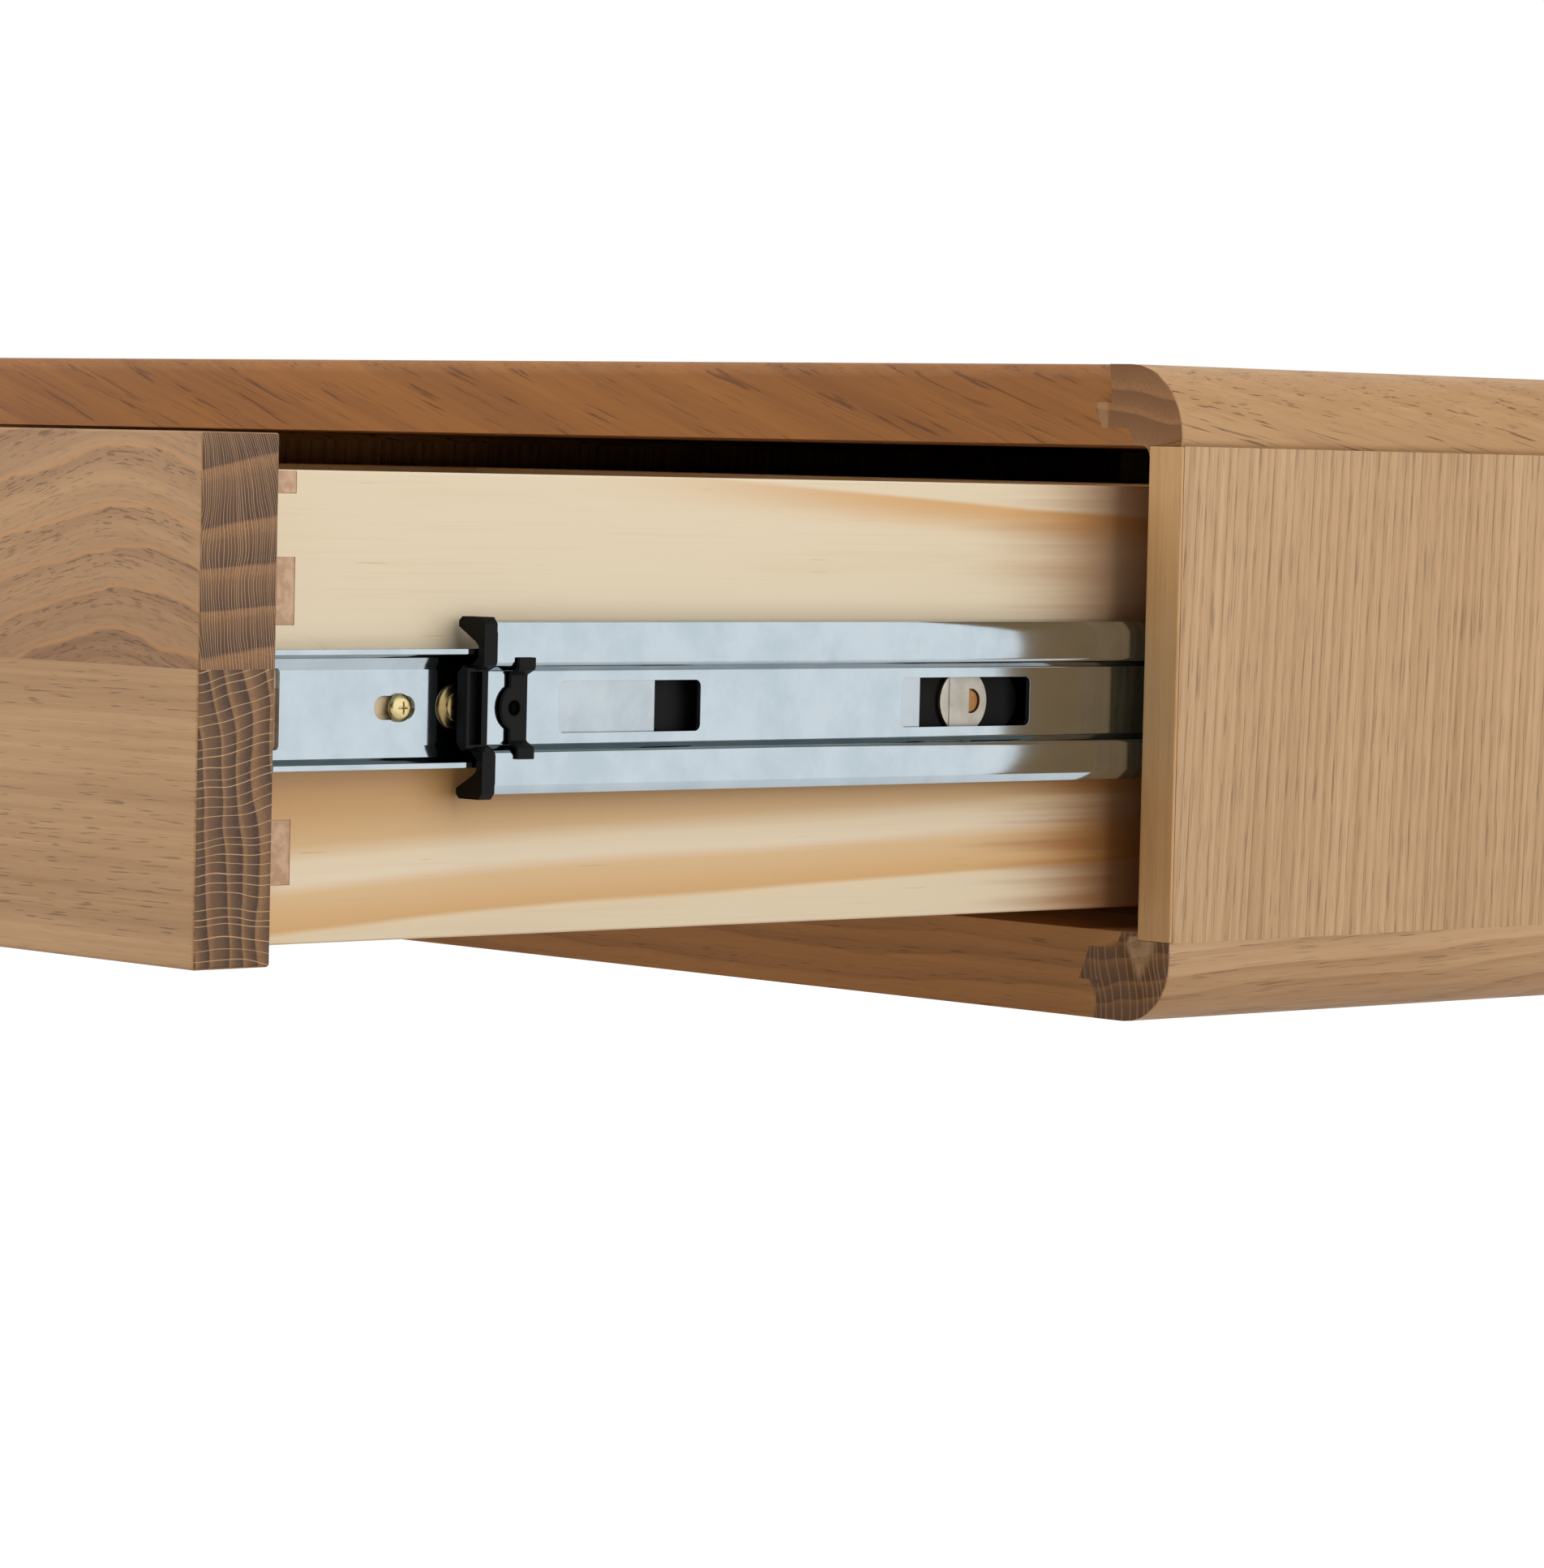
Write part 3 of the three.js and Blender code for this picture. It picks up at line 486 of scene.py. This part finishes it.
front_lower_oak = wood(
    "front_lower_oak", "X", (front_low.y - 0.3, seam_z - 0.06), 4.4 * MM,
    srgb(197, 158, 114), srgb(154, 116, 77), srgb(145, 105, 65), srgb(68, 43, 26),
    figure=(1.4 * MM, 200 * MM, 20 * MM), weights=(0.25, 0.6, 0.3),
    pore=(10 * MM, 0.5 * MM, 0.6, 0.6), seed=5.4, ray=(6 * MM, 0.7),
)
CREAM = srgb(230, 212, 180)
TAN = srgb(218, 172, 112)
side_pine = pine(
    "side_pine", "Y", box_low.z, box_high.z,
    [
        (0.0, CREAM), (0.02, srgb(232, 212, 176)), (0.03, TAN), (0.105, srgb(226, 190, 140)),
        (0.13, srgb(236, 218, 188)), (0.165, srgb(234, 214, 180)), (0.2, srgb(218, 180, 128)),
        (0.27, srgb(206, 160, 102)), (0.33, srgb(198, 150, 92)), (0.42, srgb(222, 192, 144)),
        (0.55, CREAM), (1.0, CREAM),
    ],
    flame=(case_front - 0.18, case_front - 0.05, 0.951),
)
end_pine = pine(
    "end_pine", "X", box_low.z, box_high.z,
    [(0.0, CREAM), (0.3, srgb(228, 203, 162)), (0.34, TAN), (0.36, CREAM), (1.0, CREAM)], seed=2.0,
)
bottom_ply = plywood("bottom_ply", "Z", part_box("box_bottom_panel")[0].z, 5 * MM)
back_ply = plywood("back_ply", "Y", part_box("back_panel")[0].y, 5 * MM)
zinc = plated("zinc", srgb(172, 182, 188), srgb(161, 173, 180), rough=0.06, smudges=0.14)
cage_zinc = plated("cage_zinc", srgb(168, 177, 182), srgb(156, 165, 170), rough=0.16)
chrome = plated("chrome", srgb(226, 228, 230), srgb(212, 214, 218), rough=0.12, smudges=0.05)
yellow_zinc = plated("yellow_zinc", srgb(206, 192, 146), srgb(184, 160, 104), rough=0.26)
bronze_zinc = plated("bronze_zinc", srgb(172, 152, 106), srgb(126, 106, 66), rough=0.22)
plain_steel = plated("plain_steel", srgb(190, 188, 180), srgb(164, 160, 150), rough=0.34)
black_plastic = moulded("black_plastic", srgb(8, 8, 8))
pin_copper = plated("pin_copper", srgb(190, 146, 98), srgb(140, 100, 60), rough=0.45)

# ---- Pieces -------------------------------------------------------------------------------------


def new_piece(name, mesh, body, slot, *materials):
    piece = bpy.data.objects.new(name, mesh)
    bpy.context.scene.collection.objects.link(piece)
    for material in materials:
        mesh.materials.append(material)
    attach(piece, body)
    return piece


def slot_of(node):
    return next(p["material_slot"] for p in frame["record"]["subparts"] if p["node"] == node)


def smooth(mesh, degrees=35):
    """Shades the mesh round, except over edges sharper than degrees."""
    mesh.polygons.foreach_set("use_smooth", [True] * len(mesh.polygons))
    mesh.set_sharp_from_angle(angle=math.radians(degrees))


def flatten(piece):
    """Lets the large faces keep their own direction, so that only the rounded edges are shaded round."""
    weighted = piece.modifiers.new("flat_faces", "WEIGHTED_NORMAL")
    weighted.mode = "FACE_AREA"
    weighted.weight = 100
    weighted.keep_sharp = True


def eased(node, material, width, chosen=None, segments=3):
    """A copy of a CAD node with its free edges rounded. chosen(a, b) says which edges are free."""
    source = nodes[node]
    mesh = bpy.data.meshes.new(node + "_eased")
    shape = bmesh.new()
    shape.from_mesh(source.data)
    bmesh.ops.remove_doubles(shape, verts=shape.verts, dist=0.002 * MM)
    bmesh.ops.dissolve_limit(
        shape, angle_limit=math.radians(0.6), verts=shape.verts, edges=shape.edges
    )
    edges = [
        edge
        for edge in shape.edges
        if len(edge.link_faces) == 2
        and edge.calc_face_angle() > math.radians(40)
        and (chosen is None or chosen(edge.verts[0].co, edge.verts[1].co))
    ]
    bmesh.ops.bevel(
        shape, geom=edges, offset=width, segments=segments, profile=0.5, affect="EDGES",
        clamp_overlap=True,
    )
    bmesh.ops.triangulate(shape, faces=[f for f in shape.faces if len(f.verts) > 8])
    shape.to_mesh(mesh)
    shape.free()
    smooth(mesh)
    piece = new_piece(node + "_piece", mesh, source["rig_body"], slot_of(node), material)
    flatten(piece)
    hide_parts(node)
    return piece


def dress(node, material):
    """Gives a CAD node that stays visible its material."""
    mesh = nodes[node].data
    mesh.materials.clear()
    mesh.materials.append(material)


# Which edges are free, from the two ends of an edge.


def along_x(a, b):
    return abs(a.x - b.x) > 0.4


def top_front(a, b):
    return along_x(a, b) and a.z > case_top - 1 * MM and a.y < case_front + 1 * MM


def on_outside(a, b):
    """On a moulding's end outlines, outside the side panel's inner face."""
    on_end = abs(a.y - b.y) < 0.01 * MM
    outside = min(abs(a.x), abs(b.x)) > inner_x + 2 * MM
    return on_end and outside and abs(a.z - b.z) + abs(a.x - b.x) > 0.1 * MM


def off_seam(a, b):
    return abs(a.z - seam_z) > 0.1 * MM or abs(b.z - seam_z) > 0.1 * MM


eased("top_board", rail_oak, TOP_ROUNDING, top_front, segments=5)
eased("bottom_board", floor_oak, 1.0 * MM, along_x)

for side in SIDES:
    eased(f"top_corner_moulding_{side}", top_moulding_oak, 0.7 * MM, on_outside)
    eased(f"bottom_corner_moulding_{side}", bottom_moulding_oak, 0.7 * MM, on_outside)
    dress(f"side_panel_{side}", panel_veneer)
    eased(f"side_edge_strip_{side}", strip_oak, 0.35 * MM)
    eased(f"box_side_{side}", side_pine, 0.5 * MM, lambda a, b: abs(a.y - b.y) > 0.3)
    for member in ("fixed_member", "middle_member", "drawer_member"):
        eased(f"{member}_{side}", zinc, 0.18 * MM, segments=2)
    for cage in ("outer_ball_cage", "inner_ball_cage"):
        dress(f"{cage}_{side}", cage_zinc)
    for stop in ("end_bumper", "web_clip", "rear_stop", "release_lever"):
        eased(f"{stop}_{side}", black_plastic, 0.2 * MM, segments=2)
dress("back_panel", back_ply)
dress("box_bottom_panel", bottom_ply)
eased("box_front_board", end_pine, 0.4 * MM)
eased("box_back_board", end_pine, 0.4 * MM)
eased("drawer_front_upper_board", front_upper_oak, 2.2 * MM, off_seam, segments=4)
eased("drawer_front_lower_board", front_lower_oak, 2.2 * MM, off_seam, segments=4)

# ---- Screws, rivets and balls -------------------------------------------------------------------


def turned(profile, segments=40):
    """A bmesh turned round the Z axis from a profile of (radius, height) in millimetres."""
    shape = bmesh.new()
    rings = []
    for radius, height in profile:
        if radius == 0:
            rings.append([shape.verts.new((0, 0, height * MM))])
            continue
        ring = []
        for i in range(segments):
            angle = 2 * math.pi * i / segments
            place = (radius * MM * math.cos(angle), radius * MM * math.sin(angle), height * MM)
            ring.append(shape.verts.new(place))
        rings.append(ring)
    for lower, upper in zip(rings, rings[1:]):
        for i in range(segments):
            j = (i + 1) % segments
            corners = [lower[i % len(lower)], lower[j % len(lower)]]
            corners += [upper[j % len(upper)], upper[i % len(upper)]]
            shape.faces.new(list(dict.fromkeys(corners)))
    bmesh.ops.recalc_face_normals(shape, faces=shape.faces)
    return shape


def as_mesh(shape, name):
    mesh = bpy.data.meshes.new(name)
    shape.to_mesh(mesh)
    shape.free()
    return mesh


def cross_tool(reach, depth, top):
    """The punch of a cross recess: two blades that narrow towards the bottom."""
    shape = bmesh.new()
    for turn in (0, math.pi / 2):
        made = bmesh.ops.create_cube(shape, size=1.0)["verts"]
        for vert in made:
            upper = vert.co.z > 0
            wide = (reach if upper else 0.35 * reach) * (1 if vert.co.x > 0 else -1)
            thick = (0.17 if upper else 0.09) * reach * (1 if vert.co.y > 0 else -1)
            height = top + 0.2 if upper else top - depth
            turn_x = wide * math.cos(turn) - thick * math.sin(turn)
            turn_y = wide * math.sin(turn) + thick * math.cos(turn)
            vert.co = (turn_x * MM, turn_y * MM, height * MM)
    return as_mesh(shape, "cross_tool")


def screw_mesh(name, head, shank, length, reach, depth):
    """A cross-head screw along +Z. head is the outline from the bearing face to the crown."""
    profile = [(0, -length), (0.35 * shank, 0.6 * shank - length), (shank, 2 * shank - length)]
    solid = bpy.data.objects.new(name, as_mesh(turned(profile + [(shank, 0)] + head), name + "_turned"))
    tool = bpy.data.objects.new("tool", cross_tool(reach, depth, head[-1][1]))
    for part in (solid, tool):
        bpy.context.scene.collection.objects.link(part)
    cut = solid.modifiers.new("recess", "BOOLEAN")
    cut.operation = "DIFFERENCE"
    cut.solver = "EXACT"
    cut.object = tool
    cut.use_self = True
    soften = solid.modifiers.new("edges", "BEVEL")
    soften.width = 0.06 * MM
    soften.segments = 2
    soften.limit_method = "ANGLE"
    soften.angle_limit = math.radians(40)
    bpy.context.view_layer.update()
    made = bpy.data.meshes.new_from_object(solid.evaluated_get(bpy.context.evaluated_depsgraph_get()))
    for part in (solid, tool):
        bpy.data.objects.remove(part)
    made.name = name
    smooth(made, 32)
    return made


PAN_HEAD = [(2.85, 0), (3.05, 0.15), (3.1, 0.5), (2.95, 0.95), (2.5, 1.4), (1.7, 1.75), (0, 1.9)]
WAFER_HEAD = [(4.8, 0), (5, 0.2), (4.9, 0.55), (4.4, 0.8), (3.3, 0.95), (3.1, 1.35), (2.4, 1.7), (0, 1.8)]
CASE_HEAD = [(2.85, 0), (3.05, 0.15), (3.1, 0.5), (2.95, 0.9), (2.5, 1.3), (1.7, 1.65), (0, 1.8)]
LONG_HEAD = [(3.75, 0), (3.95, 0.2), (4, 0.6), (3.75, 1.1), (3.1, 1.65), (2, 2.05), (0, 2.2)]
SCREWS = {
    "pan": (PAN_HEAD, 1.6, 11, 1.6, 1.3),
    "wafer": (WAFER_HEAD, 1.9, 11, 2.1, 1.2),
    "case": (CASE_HEAD, 1.6, 9, 1.6, 1.3),
    "long": (LONG_HEAD, 1.8, 26, 2.1, 1.6),
}
screw_kinds = {kind: screw_mesh(kind + "_screw", *sizes) for kind, sizes in SCREWS.items()}


def drive(node, kind, axis, sign, material):
    """Puts a detailed screw where a CAD screw is, with its head towards sign along axis."""
    low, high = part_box(node)
    place = (low + high) / 2
    head_height = SCREWS[kind][0][-1][1] * MM
    place[axis] = (high if sign > 0 else low)[axis] - sign * head_height
    heading = Vector((0, 0, 0))
    heading[axis] = sign
    mesh = screw_kinds[kind].copy()
    mesh.transform(Matrix.Translation(place) @ heading.to_track_quat("Z", "Y").to_matrix().to_4x4())
    piece = new_piece(node + "_piece", mesh, nodes[node]["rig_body"], slot_of(node), material)
    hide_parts(node)


def rivet(side, sign):
    """The lever's round steel cap, with the copper-coloured end of the pin in its hole."""
    piece = eased(f"lever_rivet_{side}", plain_steel, 0.12 * MM, segments=2)
    mesh = piece.data
    mesh.materials.append(pin_copper)
    face = max(sign * vert.co.x for vert in mesh.vertices)
    for polygon in mesh.polygons:
        if sign * polygon.center.x < face - 0.4 * MM:
            polygon.material_index = 1


def balls(node, radius, inset, rows, across, count):
    """Smooth steel balls round the CAD's coarse ones: rows is their height off the slide's middle."""
    low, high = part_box(node)
    shape = bmesh.new()
    for i in range(count):
        y = low.y + inset + (high.y - low.y - 2 * inset) * i / (count - 1)
        for row in (-rows, rows):
            place = Matrix.Translation((across, y, slide_z + row))
            bmesh.ops.create_uvsphere(
                shape, u_segments=20, v_segments=12, radius=radius, matrix=place
            )
    mesh = as_mesh(shape, node + "_balls")
    smooth(mesh, 60)
    new_piece(node + "_balls", mesh, nodes[node]["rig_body"], "cage_steel", chrome)


# Radius, distance from the cage's ends, height off the slide's middle, depth from the panel, count.
BALLS = {
    "outer_ball_cage": (1.45 * MM, 8 * MM, 20.05 * MM, 6 * MM, 7),
    "inner_ball_cage": (1.75 * MM, 6 * MM, 14.55 * MM, 5.7 * MM, 6),
}

for side, sign in zip(SIDES, (1, -1)):
    for i in (1, 2, 3):
        drive(f"fixed_member_screw_{i}_{side}", "case", 0, -sign, yellow_zinc)
    drive(f"drawer_member_screw_1_{side}", "pan", 0, sign, yellow_zinc)
    drive(f"drawer_member_screw_2_{side}", "wafer", 0, sign, bronze_zinc)
    drive(f"drawer_member_screw_3_{side}", "pan", 0, sign, yellow_zinc)
    rivet(side, sign)
    for cage, (radius, inset, rows, depth, count) in BALLS.items():
        balls(f"{cage}_{side}", radius, inset, rows, sign * (inner_x - depth), count)
for i in (1, 2, 3, 4):
    drive(f"front_screw_{i}", "long", 1, 1, plain_steel)

# ---- Floor, light and camera --------------------------------------------------------------------

FLOOR_GLOW = 0.25
FLOOR_DROP = 0.55  # how far the floor lies below the case, which hangs under a desk
FLOOR_REACH = 12
CARD_HEIGHT = 0.25  # of the upright cards that only the slides mirror
AIM = (0.25, -0.25)  # where the lamps point, by the right slide


def staged(name, corners, surface):
    mesh = bpy.data.meshes.new(name)
    mesh.from_pydata(corners, [], [(0, 1, 2, 3)])
    mesh.materials.append(surface.material)
    card = bpy.data.objects.new(name, mesh)
    bpy.context.scene.collection.objects.link(card)
    return card


def glow(name, colour, strength):
    surface = Surface(name)
    surface.set(Base_Color=(0.0, 0.0, 0.0, 1.0), Roughness=1.0, Specular_IOR_Level=0.0)
    surface.set(Emission_Color=colour, Emission_Strength=strength)
    return surface


def pale_floor():
    reach = FLOOR_REACH
    low = cad_bounds[0][2] - FLOOR_DROP
    surface = Surface("floor_white")
    surface.set(Base_Color=(0.8, 0.8, 0.8, 1.0), Roughness=0.9, Specular_IOR_Level=0.0)
    surface.set(Emission_Color=(1.0, 1.0, 1.0, 1.0), Emission_Strength=FLOOR_GLOW)
    corners = [(-reach, -reach, low), (reach, -reach, low), (reach, reach, low), (-reach, reach, low)]
    staged("floor", corners, surface)


def upright(name, start, end, low, high, surface):
    """A standing card above the line from start to end, which the camera doesn't see."""
    (x0, y0), (x1, y1) = start, end
    card = staged(name, [(x0, y0, low), (x1, y1, low), (x1, y1, high), (x0, y0, high)], surface)
    card.visible_camera = False
    return card


def white_world():
    world = bpy.data.worlds.new("studio")
    world.use_nodes = True
    background = world.node_tree.nodes["Background"]
    background.inputs["Color"].default_value = (1.0, 1.0, 1.0, 1.0)
    background.inputs["Strength"].default_value = 1.0
    bpy.context.scene.world = world


def soft_lamp(name, place, power, size, aim_height):
    data = bpy.data.lights.new(name, "AREA")
    data.energy = power
    data.shape = "RECTANGLE"
    data.size, data.size_y = size
    lamp = bpy.data.objects.new(name, data)
    bpy.context.scene.collection.objects.link(lamp)
    lamp.location = place
    aim = Vector((*AIM, aim_height)) - Vector(place)
    lamp.rotation_euler = aim.to_track_quat("-Z", "Y").to_euler()


def flat_card(name, low_corner, high_corner, height, surface):
    """A level card at a height, which the camera doesn't see."""
    (x0, y0), (x1, y1) = low_corner, high_corner
    corners = [(x0, y0, height), (x1, y0, height), (x1, y1, height), (x0, y1, height)]
    card = staged(name, corners, surface)
    card.visible_camera = False
    return card


def cards_to_mirror():
    """Cards that only the plated steel mirrors: white in front, brown by the case, grey overhead."""
    brown_tone = glow("card_brown", (0.325, 0.195, 0.09, 1), 1.0)
    white_tone = glow("card_white", (1, 1, 1, 1), 1.4)
    grey_tone = glow("card_grey", (0.9, 1, 0.95, 1), 0.32)
    meeting = (0.3895, -0.142)
    cards = (
        upright("brown_card", meeting, (0.36, -0.05), 0.0, CARD_HEIGHT, brown_tone),
        upright("white_card", meeting, (0.43, -0.62), 0.0, CARD_HEIGHT, white_tone),
        flat_card("grey_card", (0.15, -0.25), (1.0, 0.9), 0.45, grey_tone),
    )
    for card in cards:
        card.visible_diffuse = False
        card.visible_shadow = False


def studio_light():
    white_world()
    soft_lamp("key", (2.48, 0.306, 1.12), 22, (2.8, 2.2), 1.12)
    soft_lamp("fill", (-1.8, -2.6, 1.6), 36, (3.0, 3.0), 0.08)
    # A dark card on the camera's side keeps front light off the sides.
    upright("dark_card", (2.6, -0.9), (0.4, -2.9), 0.0, 2.0, glow("card_dark", (1, 1, 1, 1), 0.03))
    cards_to_mirror()
    # A dim card below stands for whatever the case is mounted over, and shades its underside.
    under_tone = glow("card_under", (0.30, 0.24, 0.19, 1), 1.2)
    height = cad_bounds[0][2] - 0.1
    under = flat_card("under_card", (-0.45, -0.8), (0.62, 0.5), height, under_tone)
    under.visible_glossy = False
    under.visible_shadow = False


# Where the photograph was taken from: the angles in degrees, and the place from the lower right
# corner of the case's opening.
CAMERA_ANGLES = (47.48, 2.96, 1.29)  # azimuth, elevation and roll
CAMERA_FROM_CORNER = (1.0246, -1.0566, 0.109)
CAMERA_LENS = 144.4


def photo_camera():
    azimuth, elevation, roll = (math.radians(angle) for angle in CAMERA_ANGLES)
    back = Vector(
        (
            math.sin(azimuth) * math.cos(elevation),
            -math.cos(azimuth) * math.cos(elevation),
            math.sin(elevation),
        )
    )
    level = Vector((0, 0, 1)).cross(back).normalized()
    rise = back.cross(level)
    right = level * math.cos(roll) + rise * math.sin(roll)
    up = rise * math.cos(roll) - level * math.sin(roll)
    data = bpy.data.cameras.new("photo_camera")
    data.lens = CAMERA_LENS
    data.sensor_width = 36
    data.clip_end = 100
    camera = bpy.data.objects.new("photo_camera", data)
    bpy.context.scene.collection.objects.link(camera)
    turn = Matrix((right, up, back)).transposed().to_4x4()
    corner = Vector((inner_x, case_front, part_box("bottom_board")[1].z))
    camera.matrix_world = Matrix.Translation(corner + Vector(CAMERA_FROM_CORNER)) @ turn
    bpy.context.scene.camera = camera


pale_floor()
studio_light()
photo_camera()
bpy.context.scene.view_settings.view_transform = "Standard"
